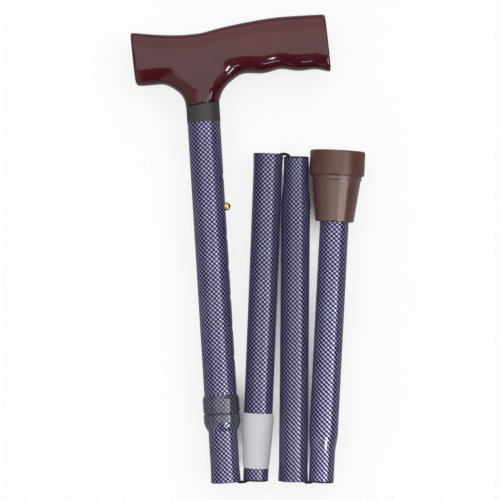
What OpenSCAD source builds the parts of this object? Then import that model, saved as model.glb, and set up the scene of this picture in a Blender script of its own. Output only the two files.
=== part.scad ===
// Folding walking cane, laid down folded. Four tube sections lie side by side
// and are strung on one elastic cord. The sections' axes share one level plane,
// the cane's length runs along Y and the handle is at the +Y end.

/* [Tubes] */
// Outside diameter of the lower tubes
tube_od = 19; // [17:0.5:21]
// Wall of the lower tubes
tube_wall = 1.15; // [0.9:0.05:1.3]
// Wall of the upper tube
outer_wall = 1.2; // [1:0.1:2]
// Length of the upper tube
outer_len = 190.8; // [180:1:215]
// Room over the telescoping tube, under the bush's plug
inner_room = 23.3; // [22:0.1:30]
// Length of the second section
second_len = 216; // [190:1:240]
// Length of the third section
third_len = 214; // [190:1:240]
// Length of the fourth tube
fourth_len = 209.2; // [190:0.1:240]
// Radial clearance between sliding tubes
slide_clear = 0.1; // [0.05:0.01:0.1]

/* [Section joints] */
// Straight length of a swaged spigot
spigot_len = 17.2; // [13:0.1:20]
// Length of the taper between a spigot and its full tube
taper_len = 11.9; // [9:0.1:14]
// Length of the belled mouth
bell_len = 10; // [7:0.5:13]
// Growth of the radius outside at a belled mouth
bell_rise = 0.4; // [0.2:0.05:0.6]
// Growth of the radius inside at a belled mouth
bell_seat = 0.65; // [0.4:0.05:0.8]
// Wall of the bush in a spigot's end
end_bush_wall = 0.6; // [0.4:0.1:1]
// Length of that bush inside the spigot
end_bush_len = 8; // [5:0.5:11]
// Thickness of that bush's lip over the rim
end_bush_lip = 1; // [0.6:0.1:1.4]

/* [Folded layout] */
// Lean of the first section off the Y axis, in degrees
lean = 3.515; // [2:0.1:5]
// Gap between the first mouth and the second section's spigot
first_gap = 1.45; // [1.2:0.05:3]
// Gap between the other mouths and the spigots beside them
fold_gap = 0.3; // [0.3:0.05:1]
// Gap between the second section and the lock nut
nut_gap = 1.3; // [1:0.05:4]
// Gap between sections that rest side by side
rest_gap = 0.3; // [0.3:0.05:1]
// Step of the second section's end below the first mouth
first_step = 0.3; // [0:0.1:1]
// Step of the third section's end below the second mouth
second_step = 1.3; // [1:0.1:4]
// Step of the fourth section's end below the third mouth
third_step = 0.6; // [0.2:0.1:1]

/* [Height lock] */
// Length of telescoping tube that shows below the lock nut
lock_show = 34.3; // [30:0.1:40]
// Outside diameter of the lock rings
lock_od = 24.8; // [24:0.1:28]
// Length of the lock nut
nut_len = 11.2; // [9:0.1:14]
// Length of the upper lock ring
socket_len = 12.3; // [9:0.1:15]
// Chamfer of the lock rings
lock_chamfer = 1.4; // [0.6:0.1:1.8]
// Gap between the two lock rings
ring_gap = 0.3; // [0.2:0.05:0.6]
// Wall of the split collet
collet_wall = 0.65; // [0.5:0.05:0.7]
// Wall of the nose that the nut turns on
nose_wall = 0.7; // [0.6:0.05:0.8]

/* [Height button] */
// Distance of the button below the upper tube's top
button_drop = 56.3; // [50:0.1:66]
// Diameter of the button
button_d = 5.3; // [4.5:0.1:6]
// Height of the button over the upper tube
button_rise = 3.4; // [2.5:0.1:4]
// Spacing of the height holes
hole_pitch = 20; // [14:0.5:20]
// Least length of upper tube below its last height hole
hole_margin = 30; // [20:1:40]
// Width of the leaf spring
leaf_w = 8; // [6:0.5:9]
// Thickness of the leaf spring
leaf_t = 0.8; // [0.6:0.1:1]
// Length of the leaf spring's legs
leaf_len = 30; // [24:1:34]

/* [Handle] */
// Reach of the grip from the stem's axis
grip_reach = 84.7; // [70:0.5:100]
// Reach of the short arm from the stem's axis
back_reach = 43.8; // [34:0.5:52]
// Height of the handle above its seat
handle_rise = 54.5; // [50:0.1:60]
// Thickness of the handle
handle_t = 24.5; // [23:0.5:32]
// Height of the grip's underside above the seat
grip_under = 18.2; // [16:0.1:22]
// Height of the short arm's underside above the seat
back_under = 15.9; // [14:0.1:19]
// Diameter of the stem at its seat
stem_d = 22.8; // [22.2:0.1:26]
// Spacing of the finger grooves
groove_pitch = 24.4; // [20:0.2:28]
// Depth of the finger grooves
groove_depth = 1.9; // [1:0.1:3]
// Slope of the handle's seat, in degrees
seat_slope = 7.5; // [0:0.5:9]
// Length of the bush that shows under the handle
bush_len = 11.9; // [9:0.1:15]
// Growth of the bush's radius over the upper tube
bush_rise = 0.2; // [0:0.05:0.6]
// Length of the bush's plug in the upper tube
bush_plug = 13; // [8:0.5:14]
// Length of the bush's spigot in the handle
bush_spigot = 24; // [16:0.5:26]

/* [Rubber tip] */
// Diameter of the tip's foot
foot_d = 36.4; // [32:0.2:42]
// Height of the tip's foot
foot_h = 16.4; // [12:0.2:20]
// Height of the whole tip
tip_h = 47; // [40:0.5:54]
// Diameter of the tip's skirt under the foot
skirt_d = 32.6; // [28:0.2:36]
// Diameter of the tip's upper rim
collar_d = 25.4; // [24:0.2:28]
// Thickness of the sole under the tube
sole_t = 8; // [6:0.5:10]
// Number of rings cut in the sole
sole_rings = 3; // [1:1:4]

/* [Cord and label] */
// Diameter of the elastic cord
cord_d = 2.2; // [1.8:0.1:2.8]
// Height of the label above the second section's end
label_from = 8.6; // [6:0.1:11]
// Length of the label
label_len = 36.3; // [32:0.1:40]
// Thickness of the label
label_t = 0.3; // [0.2:0.05:0.4]
// Gap between the label's upper rim and the tube
label_loose = 0.7; // [0.3:0.05:0.9]

/* [Hidden] */
$fn = 64;

// Overrun of every cut past the face it starts from
over = 1;
// Radial clearance of pieces that are pressed or bonded together
fit_clear = 0.03;
// Clearance of a piece that rests on another
seat_clear = 0.1;
// Gap for glue round the bush's spigot in the handle
glue_gap = 0.3;

// Thickness of the slices that the handle is drawn through
slice_t = 0.25;
// Width of the collet's slits, and their number
slit_w = 1.2;
slits = 3;
// Thickness of the nut's floor round the telescoping tube
nut_floor = 3;
// Rubber tip: edge of the foot, groove, bead and sole rings
foot_edge = 1.2;
tip_groove = 0.9;
bead_h = 2.4;
sole_ring_w = 1.6;
sole_ring_deep = 1.4;

// Radii of the tubes
tube_r = tube_od/2;
bore_r = tube_r - tube_wall;
spigot_r = bore_r - slide_clear;
spigot_bore_r = spigot_r - tube_wall;
outer_bore_r = tube_r + slide_clear;
outer_r = outer_bore_r + outer_wall;
mouth_r = tube_r + bell_rise;
mouth_bore_r = bore_r + bell_seat;
shoulder = spigot_len + taper_len;

// Heights along the first section, from its mouth
nut_top = lock_show + nut_len;
socket_low = nut_top + ring_gap;
// Thickness of the ledge that the upper tube stands on
socket_ledge = 1.2;
outer_low = socket_low + socket_ledge;
outer_top = outer_low + outer_len;
seat_top = outer_top + bush_len;
inner_len = outer_top - bush_plug - inner_room;
button_height = outer_top - button_drop;
hole_top = button_height + hole_pitch;
hole_count = 1 + floor((hole_top - outer_low - hole_margin)/hole_pitch);

// Rubber tip along the fourth section, from the section's lower end
// Thickness of the washer in the tip
washer_t = 1.5;
sole_top = fourth_len + seat_clear + washer_t + seat_clear + sole_t;
tip_low = sole_top - tip_h;
foot_low = sole_top - foot_h;
foot_r = foot_d/2;

// Folded layout: spacing of neighbouring ends, and the angles between sections
lock_r = lock_od/2;
first_pitch = mouth_r + spigot_r + first_gap;
next_pitch = mouth_r + spigot_r + fold_gap;
first_fan = atan((lock_r + tube_r + nut_gap - first_pitch)/(lock_show + lock_chamfer));
second_fan = asin((tube_od + rest_gap - next_pitch)/shoulder);
function swaged_r(d) = d > shoulder ? tube_r : d < spigot_len ? spigot_r
  : spigot_r + (d - spigot_len)*(tube_r - spigot_r)/taper_len;
beside_foot_r = swaged_r(third_len + third_step - foot_low);
third_fan = asin((foot_r + beside_foot_r + rest_gap - next_pitch)/foot_low);
lean_2 = lean - first_fan;
lean_3 = lean_2 + second_fan;
lean_4 = lean_3 - third_fan;

function turn(a, p) = [p[0]*cos(a) - p[1]*sin(a), p[0]*sin(a) + p[1]*cos(a)];
function up(a, s) = turn(a, [0, s]);
end_2 = turn(lean, [first_pitch, -first_step]);
mouth_2 = end_2 + up(lean_2, second_len);
end_3 = mouth_2 + turn(lean_2, [next_pitch, -second_step]);
mouth_3 = end_3 - up(lean_3, third_len);
end_4 = mouth_3 + turn(lean_3, [next_pitch, -third_step]);

// Handle: outline curves along its length
// Height of the top edge along the short arm and along the grip
top_back_shares = [0.858, 0.853, 0.866, 0.890, 0.918];
top_grip_shares = [0.858, 0.916, 0.962, 0.994, 1.000, 0.998];
// Slope of the arms' end faces, in degrees
arm_slope = 2.8;
// Rounding of the arms' ends
arm_round = 1.2;
// Share of the reach over which the grip's last lip hangs down, and its drop
lip_share = 0.25;
lip_drop = 2.6;
// Share of the short arm's reach over which its end hangs down, and its drop
back_lip_share = 0.6;
back_lip_drop = 1.3;
// Distance of the first ridge from the stem's axis
ridge_from = 40;
// Power of the stem's flare, and how wide the flare runs under the arms
flare_power = 2.6;
flare_w = 13.5;
// Power of the arms' cross-section
arm_power = 2.7;
// Swell of the grip's thickness in the palm
palm_swell = 1;
// How far the stem runs up into the arms
stem_top_share = 0.4;
ring_sides = 36;
function smooth(t) = t*t*(3 - 2*t);
function clamp(t) = max(0, min(1, t));
function along_table(table, t) =
  let (n = len(table) - 1, k = min(n - 1, floor(t*n)), f = t*n - k,
       a = table[max(0, k - 1)], b = table[k], c = table[k + 1], d = table[min(n, k + 2)])
  b + f*((c - a)/2 + f*((2*a - 5*b + 4*c - d)/2 + f*(3*(b - c) + d - a)/2));
function top_at(x) = handle_rise*(x < 0 ? along_table(top_back_shares, clamp(-x/back_reach))
                                        : along_table(top_grip_shares, clamp(x/grip_reach)));
function groove_at(x) = groove_depth*(1 - cos(360*(x - ridge_from)/groove_pitch))/2;
function lip_at(x) = lip_drop*smooth(clamp((x/grip_reach - 1 + lip_share)/lip_share));
function back_lip_at(x) = back_lip_drop*smooth(clamp((-x/back_reach - 1 + back_lip_share)/back_lip_share));
function under_at(x) = x < 0 ? back_under - back_lip_at(x)
  : grip_under + groove_at(x)*clamp(x/ridge_from) - lip_at(x);
function half_t_at(x) = handle_t/2
  + palm_swell*(x < 0 ? -smooth(clamp(-x/back_reach)) : sin(180*clamp(x/grip_reach)) - clamp(x/grip_reach)/2);
function power(v, n) = sign(v)*pow(abs(v), n);
function ring_points(w, h, n) = [for (k = [0:ring_sides - 1]) let (a = 360*k/ring_sides)
  [w*power(cos(a), 2/n), h*power(sin(a), 2/n)]];
function flare_at(v, w, h) = stem_d/2 + w*pow(clamp(v/h), flare_power);

// Elastic cord: where it lies against the walls, and how it turns over two rims
cord_r = cord_d/2;
// Clearance between the cord and a wall, and over a rim
cord_clear = 0.15;
rim_clear = 0.12;
// Radius of the cord's turn at a rim
cord_turn = 1.6;
// Gap between two stretches of the cord
cord_gap = 0.2;
// Room kept in a socket past the end of a seated spigot
socket_room = 3;
taper_slope = (tube_r - spigot_r)/taper_len;
// Gap between a spigot's taper and the belled mouth when the section is home
home_gap = 0.07;
socket_depth = spigot_len + (mouth_bore_r - home_gap - spigot_r)/taper_slope;
socket_end = socket_depth + socket_room;
bush_bore_r = spigot_bore_r - end_bush_wall;
socket_side = bore_r - cord_r - cord_clear;
spigot_side = bush_bore_r - cord_r - cord_clear;
// Length of the cord's turn inside a spigot
turn_in = end_bush_len + end_bush_lip;
// Knot at each end of the cord
knot_r = 3.2;
knot_len = 6;
// Plugs that hold the knots, and the lower one's place
plug_len = 8;
plug_hole_clear = 0.2;
top_plug_drop = 52;
low_plug_drop = 26;
plug_top_z = button_height - top_plug_drop;
plug_low_z = fourth_len - low_plug_drop;
cord_sides = 8;
turn_steps = 5;

function bend_path(pitch, step, fan) =
  let (base = [pitch, step] + turn(-fan, [-spigot_side, 0]),
       level = min(0, step - rim_clear) - rim_clear - cord_r,
       arc_y = level + cord_turn,
       foot_y = arc_y - cord_turn*sin(fan),
       arc_x = base[0] + (foot_y - base[1])*tan(fan) - cord_turn*cos(fan),
       top = base + turn(-fan, [0, turn_in]))
  concat([[socket_side, socket_end - cord_gap]],
    [for (k = [0:turn_steps]) let (a = 90*k/turn_steps)
      [socket_side + cord_turn*(1 - cos(a)), arc_y - cord_turn*sin(a)]],
    [for (k = [0:turn_steps]) let (a = (90 - fan)*k/turn_steps)
      [arc_x + cord_turn*sin(a), arc_y - cord_turn*cos(a)]],
    [top]);
function unit(p) = p/norm(p);
function heading(path, k) = let (n = len(path) - 1)
  unit((k < n ? unit(path[k + 1] - path[k]) : [0, 0]) + (k > 0 ? unit(path[k] - path[k - 1]) : [0, 0]));

// Extremes of the folded cane, for its middle
seat_place = up(lean, seat_top);
back_top = top_at(-back_reach);
top_plane = [for (s = [0:0.05:1]) let (x = s*grip_reach) (seat_place + turn(lean, [x, top_at(x)]))[1]];
side_plane = [for (s = [0:0.05:1]) let (v = back_under + s*(back_top - back_under))
  (seat_place + turn(lean, [((back_top + back_under)/2 - v)*tan(arm_slope) - back_reach, v]))[0]];
foot_corner = end_4 + up(lean_4, sole_top) + turn(lean_4, [foot_r, 0]);
bend_lows = [for (p = bend_path(first_pitch, -first_step, first_fan)) turn(lean, p)[1]];
bend_lows_3 = [for (p = bend_path(next_pitch, -third_step, third_fan)) (mouth_3 + turn(lean_3, p))[1]];
low_y = min(concat(bend_lows, bend_lows_3)) - cord_r;
middle = [(min(side_plane) + foot_corner[0])/2, (max(top_plane) + low_y)/2];
axis_z = foot_r;

// A child drawn about a section's own axis, with the axis as its Z
module section(place, angle)
  translate([place[0] - middle[0], place[1] - middle[1], axis_z])
    rotate([0, 0, angle]) rotate([-90, 0, 0]) children();
module first() section([0, 0], lean) children();
module second() section(end_2, lean_2) children();
module third() section(mouth_3, lean_3) children();
module fourth() section(end_4, lean_4) children();

// A round cord of changing radius along a path in the plane of the sections
module cord(path, radii, fill) {
  n = len(path);
  color(fill) polyhedron(
    points = [for (k = [0:n - 1]) let (t = heading(path, k), r = radii[k])
      for (j = [0:cord_sides - 1]) let (a = 360*j/cord_sides)
        [path[k][0] - r*cos(a)*t[1], r*sin(a), path[k][1] + r*cos(a)*t[0]]],
    faces = concat(
      [[for (j = [cord_sides - 1:-1:0]) j]],
      [for (k = [0:n - 2]) for (j = [0:cord_sides - 1]) let (m = (j + 1) % cord_sides)
        each [[k*cord_sides + j, k*cord_sides + m, (k + 1)*cord_sides + j],
              [k*cord_sides + m, (k + 1)*cord_sides + m, (k + 1)*cord_sides + j]]],
      [[for (j = [0:cord_sides - 1]) (n - 1)*cord_sides + j]]));
}
module plain_cord(path) cord(path, [for (p = path) cord_r], "black");

// A swaged tube: spigot at its lower end, belled mouth at its upper end if asked for
module swaged_tube(length, belled) {
  rotate_extrude() polygon(concat(
    [[spigot_bore_r, end_bush_lip], [spigot_r, end_bush_lip], [spigot_r, spigot_len], [tube_r, shoulder]],
    belled ? [[tube_r, length - bell_len], [mouth_r, length], [mouth_bore_r, length],
              [bore_r, length - bell_len]]
           : [[tube_r, length], [bore_r, length]],
    [[bore_r, shoulder], [spigot_bore_r, spigot_len]]));
}

// The lipped bush in a spigot's end
module spigot_bush(fill) {
  round_r = end_bush_lip/2;
  color(fill) rotate_extrude() polygon([
    [bush_bore_r, round_r], [bush_bore_r + round_r, 0], [spigot_r - round_r, 0], [spigot_r, round_r],
    [spigot_r, end_bush_lip - fit_clear], [spigot_bore_r - fit_clear, end_bush_lip - fit_clear],
    [spigot_bore_r - fit_clear, end_bush_lip + end_bush_len],
    [bush_bore_r, end_bush_lip + end_bush_len]]);
}

// A plug across a tube's bore, with a hole for the cord
module cord_plug(low) {
  color("dimgray") translate([0, 0, low]) difference() {
    cylinder(h = plug_len, r = bore_r - fit_clear);
    translate([0, 0, -over]) cylinder(h = plug_len + 2*over, r = cord_r + plug_hole_clear);
  }
}

// One cross-section of the arms
module arm_slice(x, shrink) {
  low = under_at(x);
  high = top_at(x);
  translate([x, 0, (low + high)/2]) rotate([0, 90 - arm_slope, 0])
    linear_extrude(slice_t, center = true)
      polygon(ring_points((high - low)/2 - shrink, half_t_at(x) - shrink, arm_power));
}

// One cross-section of the stem
module stem_slice(v) {
  left = flare_at(v, flare_w, back_under);
  right = flare_at(v, flare_w, grip_under);
  round_share = clamp(v/grip_under);
  translate([(right - left)/2, 0, v]) linear_extrude(slice_t, center = true)
    polygon(ring_points((left + right)/2,
      stem_d/2 + (half_t_at(0) - stem_d/2)*smooth(round_share), 2 + (arm_power - 2)*round_share));
}

module handle() {
  arm_steps = 52;
  stem_steps = 10;
  socket_r = outer_bore_r - fit_clear + glue_gap;
  stem_low = -stem_d/2*tan(seat_slope) - over;
  arms_len = grip_reach + back_reach - 2*arm_round;
  places = [for (k = [0:arm_steps]) arm_round - back_reach + arms_len*k/arm_steps];
  color([0.36, 0.05, 0.10]) first() translate([0, 0, seat_top]) difference() {
    union() {
      for (k = [0:arm_steps - 1]) hull() {
        arm_slice(places[k], 0);
        arm_slice(places[k + 1], 0);
      }
      hull() for (a = [0:30:90]) arm_slice(arm_round*(1 - sin(a)) - back_reach, arm_round*(1 - cos(a)));
      hull() for (a = [0:30:90]) arm_slice(grip_reach - arm_round*(1 - sin(a)), arm_round*(1 - cos(a)));
      for (k = [0:stem_steps - 1]) hull() {
        stem_slice(stem_low + (grip_under - stem_low)*k/stem_steps);
        stem_slice(stem_low + (grip_under - stem_low)*(k + 1)/stem_steps);
      }
      hull() {
        stem_slice(grip_under);
        stem_slice(grip_under + (handle_rise - grip_under)*stem_top_share);
      }
    }
    translate([0, 0, stem_low - over]) cylinder(h = bush_spigot + glue_gap - stem_low + over, r = socket_r);
    seat_cut(seat_clear);
  }
}

// Everything below the sloping seat under the handle
module seat_cut(lift) {
  size = 2*stem_d;
  rotate([0, -seat_slope, 0]) translate([-size/2, -size/2, lift - size]) cube(size);
}

module handle_bush() {
  ring_r = outer_r + bush_rise;
  plug_r = outer_bore_r - fit_clear;
  plug_bore = plug_r - 2*outer_wall;
  rise = ring_r*tan(seat_slope);
  color([0.30, 0.29, 0.30]) first() translate([0, 0, seat_top]) {
    difference() {
      translate([0, 0, -bush_len + fit_clear]) cylinder(h = bush_len + rise, r = ring_r);
      rotate([0, -seat_slope, 0]) translate([-stem_d, -stem_d, 0]) cube([2*stem_d, 2*stem_d, 2*stem_d]);
      translate([0, 0, -bush_len - over]) cylinder(h = bush_len + rise + 2*over, r = plug_bore);
    }
    difference() {
      translate([0, 0, -bush_len - bush_plug]) cylinder(h = bush_plug + bush_len + bush_spigot, r = plug_r);
      translate([0, 0, -bush_len - bush_plug - over])
        cylinder(h = bush_plug + bush_len + bush_spigot + 2*over, r = plug_bore);
    }
  }
}

module outer_tube() {
  hole_r = button_d/2 + seat_clear + fit_clear;
  color([0.15, 0.13, 0.28]) first() difference() {
    translate([0, 0, outer_low]) cylinder(h = outer_len, r = outer_r);
    translate([0, 0, outer_low - over]) cylinder(h = outer_len + 2*over, r = outer_bore_r);
    for (k = [0:hole_count - 1])
      translate([0, 0, hole_top - hole_pitch*k]) rotate([0, 90, 0])
        cylinder(h = outer_r + over, r = hole_r);
  }
}

// Upper lock ring: bonded round the upper tube's end, with a thin nose for the nut
module lock_socket() {
  nose_in = outer_bore_r + collet_wall + seat_clear;
  nose_r = nose_in + nose_wall;
  nose_low = lock_show + nut_len/2;
  color([0.30, 0.28, 0.36]) first() rotate_extrude() polygon([
    [nose_in, nose_low], [nose_r, nose_low], [nose_r, socket_low], [lock_r - lock_chamfer/3, socket_low],
    [lock_r, socket_low + lock_chamfer/3], [lock_r, socket_low + socket_len - lock_chamfer],
    [lock_r - lock_chamfer, socket_low + socket_len], [outer_r + fit_clear, socket_low + socket_len],
    [outer_r + fit_clear, outer_low - fit_clear], [outer_bore_r, outer_low - fit_clear],
    [outer_bore_r, socket_low], [nose_in, socket_low - seat_clear]]);
}

// Split collet that the nut squeezes on the telescoping tube
module lock_collet() {
  low = lock_show + nut_floor + seat_clear;
  high = socket_low - collet_wall;
  color("whitesmoke") first() difference() {
    rotate_extrude() polygon([
      [outer_bore_r, low], [outer_bore_r + collet_wall, low],
      [outer_bore_r + collet_wall, high - collet_wall], [outer_bore_r + collet_wall/2, high],
      [outer_bore_r, high]]);
    for (k = [0:slits - 1]) rotate([0, 0, 360*k/slits])
      translate([0, -slit_w/2, low + nut_floor]) cube([lock_r, slit_w, nut_len]);
  }
}

// Lower lock ring, which turns about the tube
module lock_nut() {
  hollow_r = outer_bore_r + collet_wall + nose_wall + 2*seat_clear;
  color([0.30, 0.28, 0.36]) first() rotate_extrude() polygon([
    [outer_bore_r, lock_show], [lock_r - lock_chamfer, lock_show], [lock_r, lock_show + lock_chamfer],
    [lock_r, nut_top - lock_chamfer/3], [lock_r - lock_chamfer/3, nut_top], [hollow_r, nut_top],
    [hollow_r, lock_show + nut_floor], [outer_bore_r, lock_show + nut_floor]]);
}

module inner_tube() {
  hole_r = button_d/2 + seat_clear;
  color([0.15, 0.13, 0.28]) first() difference() {
    rotate_extrude() polygon([[mouth_bore_r, 0], [mouth_r, 0], [tube_r, bell_len],
      [tube_r, inner_len], [bore_r, inner_len], [bore_r, bell_len]]);
    translate([0, 0, button_height]) rotate([0, 90, 0]) cylinder(h = tube_od, r = hole_r);
  }
}

// Place of the leaf spring's outer faces: the button's leg and the leg at the far wall
leaf_side = sqrt(pow(bore_r - seat_clear, 2) - pow(leaf_w/2, 2));
flange_r = button_d/2 + leaf_t;
flange_top = sqrt(pow(bore_r - seat_clear, 2) - pow(flange_r, 2));
// Thickness of the button's flange
flange_t = 1.1;
leaf_face = flange_top - flange_t - seat_clear;

module height_button() {
  button_r = button_d/2;
  crown = outer_r + button_rise;
  dome_r = button_r + fit_clear;
  color([0.83, 0.66, 0.33]) first() translate([0, 0, button_height]) rotate([0, 90, 0]) {
    translate([0, 0, flange_top - flange_t]) {
      cylinder(h = flange_t, r = flange_r);
      cylinder(h = crown - button_r - flange_top + flange_t, r = button_r);
    }
    translate([0, 0, crown - dome_r]) intersection() {
      sphere(r = dome_r);
      cylinder(h = dome_r, r = button_r);
    }
  }
}

// Leaf spring bent to a U, its open end up
module button_spring() {
  mid = (leaf_face - leaf_side)/2;
  bend_r = (leaf_face + leaf_side)/2;
  leg_top = button_height + flange_r + leaf_t;
  leg_low = leg_top - leaf_len;
  color("silver") first() translate([0, leaf_w/2, 0]) rotate([90, 0, 0]) linear_extrude(leaf_w)
    polygon(concat(
      [[-leaf_side, leg_top]],
      [for (a = [180:10:360]) [mid + bend_r*cos(a), leg_low + bend_r*sin(a)]],
      [[leaf_face, leg_top], [leaf_face - leaf_t, leg_top]],
      [for (a = [360:-10:180]) [mid + (bend_r - leaf_t)*cos(a), leg_low + (bend_r - leaf_t)*sin(a)]],
      [[leaf_t - leaf_side, leg_top]]));
}

module cord_plug_top() first() cord_plug(plug_top_z);
module cord_plug_bottom() fourth() cord_plug(plug_low_z);

// Radii of the knot from the plug outwards, as shares of its largest radius
knot_shares = [0.8, 1, 0.9, 0.45];

// A stretch of cord from a start point through a plug to its knot
module knotted_cord(start, plug_z) {
  n = len(knot_shares);
  knot_z = plug_z + plug_len + seat_clear;
  cord(concat([start, [0, plug_z - plug_len/2]], [for (k = [0:n]) [0, knot_z + knot_len*k/n]]),
    concat([cord_r, cord_r, cord_r], knot_r*knot_shares), "black");
}

module cord_1() first() knotted_cord([socket_side, socket_end], plug_top_z);
cord_start = [-spigot_side, turn_in + cord_gap];
module cord_2() second() plain_cord([cord_start, [socket_side, second_len - socket_end]]);
module cord_3() third() plain_cord([[socket_side, socket_end], [cord_start[0], third_len - cord_start[1]]]);
module cord_4() fourth() knotted_cord(cord_start, plug_low_z);

module cord_bend_1() first() plain_cord(bend_path(first_pitch, -first_step, first_fan));
module cord_bend_2() second() translate([0, 0, second_len]) mirror([0, 0, 1])
  plain_cord(bend_path(next_pitch, second_step, second_fan));
module cord_bend_3() third() plain_cord(bend_path(next_pitch, -third_step, third_fan));

module tube_2() color([0.15, 0.13, 0.28]) second() swaged_tube(second_len, true);
module tube_3() color([0.15, 0.13, 0.28]) third() translate([0, 0, third_len]) mirror([0, 0, 1])
  swaged_tube(third_len, true);
module tube_4() color([0.15, 0.13, 0.28]) fourth() swaged_tube(fourth_len, false);

module spigot_bush_2() second() spigot_bush([0.16, 0.16, 0.17]);
module spigot_bush_3() third() translate([0, 0, third_len]) mirror([0, 0, 1]) spigot_bush([0.16, 0.16, 0.17]);
module spigot_bush_4() fourth() spigot_bush([0.16, 0.16, 0.17]);

// Blank paper label wrapped round the second section's shoulder
module label_sleeve() {
  low_r = spigot_r + seat_clear;
  knee_r = tube_r + seat_clear;
  top_r = tube_r + label_loose;
  label_top = label_from + label_len;
  color([0.86, 0.86, 0.88]) second() rotate_extrude() polygon([
    [low_r, label_from], [low_r + label_t, label_from], [knee_r + label_t, shoulder],
    [top_r + label_t, label_top], [top_r, label_top], [knee_r, shoulder]]);
}

module rubber_tip() {
  skirt_r = skirt_d/2;
  collar_r = collar_d/2;
  socket_r = tube_r + fit_clear;
  groove = tip_groove;
  land = foot_r - foot_edge;
  color([0.42, 0.33, 0.29]) fourth() difference() {
    rotate_extrude() polygon([
      [0, sole_top], [land, sole_top], [foot_r, sole_top - foot_edge], [foot_r, foot_low + foot_edge],
      [foot_r - foot_edge, foot_low], [skirt_r + groove, foot_low], [skirt_r, foot_low - groove],
      [skirt_r, foot_low - bead_h], [skirt_r - groove, foot_low - bead_h - groove],
      [collar_r, tip_low + groove], [collar_r - groove, tip_low], [0, tip_low]]);
    translate([0, 0, tip_low - over]) cylinder(h = tip_h - sole_t + over, r = socket_r);
    for (k = [1:sole_rings]) let (ring_r = land*k/(sole_rings + 1))
      translate([0, 0, sole_top - sole_ring_deep]) difference() {
        cylinder(h = sole_ring_deep + over, r = ring_r + sole_ring_w/2);
        translate([0, 0, -over]) cylinder(h = sole_ring_deep + 3*over, r = ring_r - sole_ring_w/2);
      }
  }
}

module tip_washer() color("silver") fourth()
  translate([0, 0, fourth_len + seat_clear]) cylinder(h = washer_t, r = tube_r - seat_clear);

handle();
handle_bush();
outer_tube();
lock_socket();
lock_collet();
lock_nut();
inner_tube();
height_button();
button_spring();
cord_plug_top();
cord_1();
cord_bend_1();
tube_2();
spigot_bush_2();
label_sleeve();
cord_2();
cord_bend_2();
tube_3();
spigot_bush_3();
cord_3();
cord_bend_3();
tube_4();
spigot_bush_4();
cord_4();
cord_plug_bottom();
rubber_tip();
tip_washer();
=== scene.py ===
"""Folding cane: finishes, turned and soft pieces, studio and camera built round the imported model."""

import itertools
import math

import bpy
import numpy as np
from bpy.props import FloatProperty, FloatVectorProperty, IntProperty, PointerProperty
from mathutils import Matrix, Vector


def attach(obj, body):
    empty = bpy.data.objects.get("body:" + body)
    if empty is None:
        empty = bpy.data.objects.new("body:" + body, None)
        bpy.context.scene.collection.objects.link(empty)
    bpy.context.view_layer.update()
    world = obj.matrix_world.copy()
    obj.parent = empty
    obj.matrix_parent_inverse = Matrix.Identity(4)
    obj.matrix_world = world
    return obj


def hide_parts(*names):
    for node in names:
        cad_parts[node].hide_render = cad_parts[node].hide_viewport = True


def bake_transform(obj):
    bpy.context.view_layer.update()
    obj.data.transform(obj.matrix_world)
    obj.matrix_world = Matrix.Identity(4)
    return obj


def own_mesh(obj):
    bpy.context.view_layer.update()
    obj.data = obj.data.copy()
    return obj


bl_info = {
    "name": "Folding Cane",
    "version": (1, 0, 0),
    "blender": (4, 5, 0),
    "location": "3D View > Sidebar > Cane",
    "description": "Dresses the folded walking cane and sets up its studio",
    "category": "Object",
}

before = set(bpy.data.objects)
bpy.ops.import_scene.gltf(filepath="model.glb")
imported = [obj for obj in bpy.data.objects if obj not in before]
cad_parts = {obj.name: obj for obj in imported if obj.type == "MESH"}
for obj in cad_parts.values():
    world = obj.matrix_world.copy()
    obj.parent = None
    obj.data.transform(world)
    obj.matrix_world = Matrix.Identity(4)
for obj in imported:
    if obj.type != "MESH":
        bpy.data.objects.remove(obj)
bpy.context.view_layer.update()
MM = 0.001
# How near two corners lie that count as one
SAME = 0.00001
TURN = 2 * math.pi

CORD_SIDES = 14
# The body that carries each stretch of the elastic cord
CORD_BODIES = {"cord_1": "shaft_1", "cord_2": "section_2", "cord_3": "section_3", "cord_4": "section_4"}
# The joint that lets each stretch of cord draw in, and the point of its route that stays
CORD_SEATS = {"cord_1": ("seat_1", -1), "cord_2": ("seat_2", 0), "cord_3": ("seat_3", -1)}
# The bodies that hold the two ends of each turn of the cord over the rims
BEND_BODIES = {
    "cord_bend_1": ("link_1", "section_2"),
    "cord_bend_2": ("link_2", "section_3"),
    "cord_bend_3": ("link_3", "section_4"),
}


def srgb(red, green, blue):
    """Linear colour of a screen colour given as 0 to 255."""
    shares = (value / 255 for value in (red, green, blue))
    return tuple(s / 12.92 if s <= 0.04045 else ((s + 0.055) / 1.055) ** 2.4 for s in shares)


def colour(name, words, red, green, blue):
    """A colour that the user can change."""
    return FloatVectorProperty(
        name=name, description=words, subtype="COLOR", size=3, min=0, max=1, default=srgb(red, green, blue)
    )


def length(name, words, millimetres):
    """A length that the user can change."""
    return FloatProperty(name=name, description=words, default=millimetres * MM, unit="LENGTH", precision=5)


def count(name, words, default):
    """A whole number that the user can change."""
    return IntProperty(name=name, description=words, default=default, min=0)


def amount(name, words, default):
    """A plain number that the user can change."""
    return FloatProperty(name=name, description=words, default=default, min=0)


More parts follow.
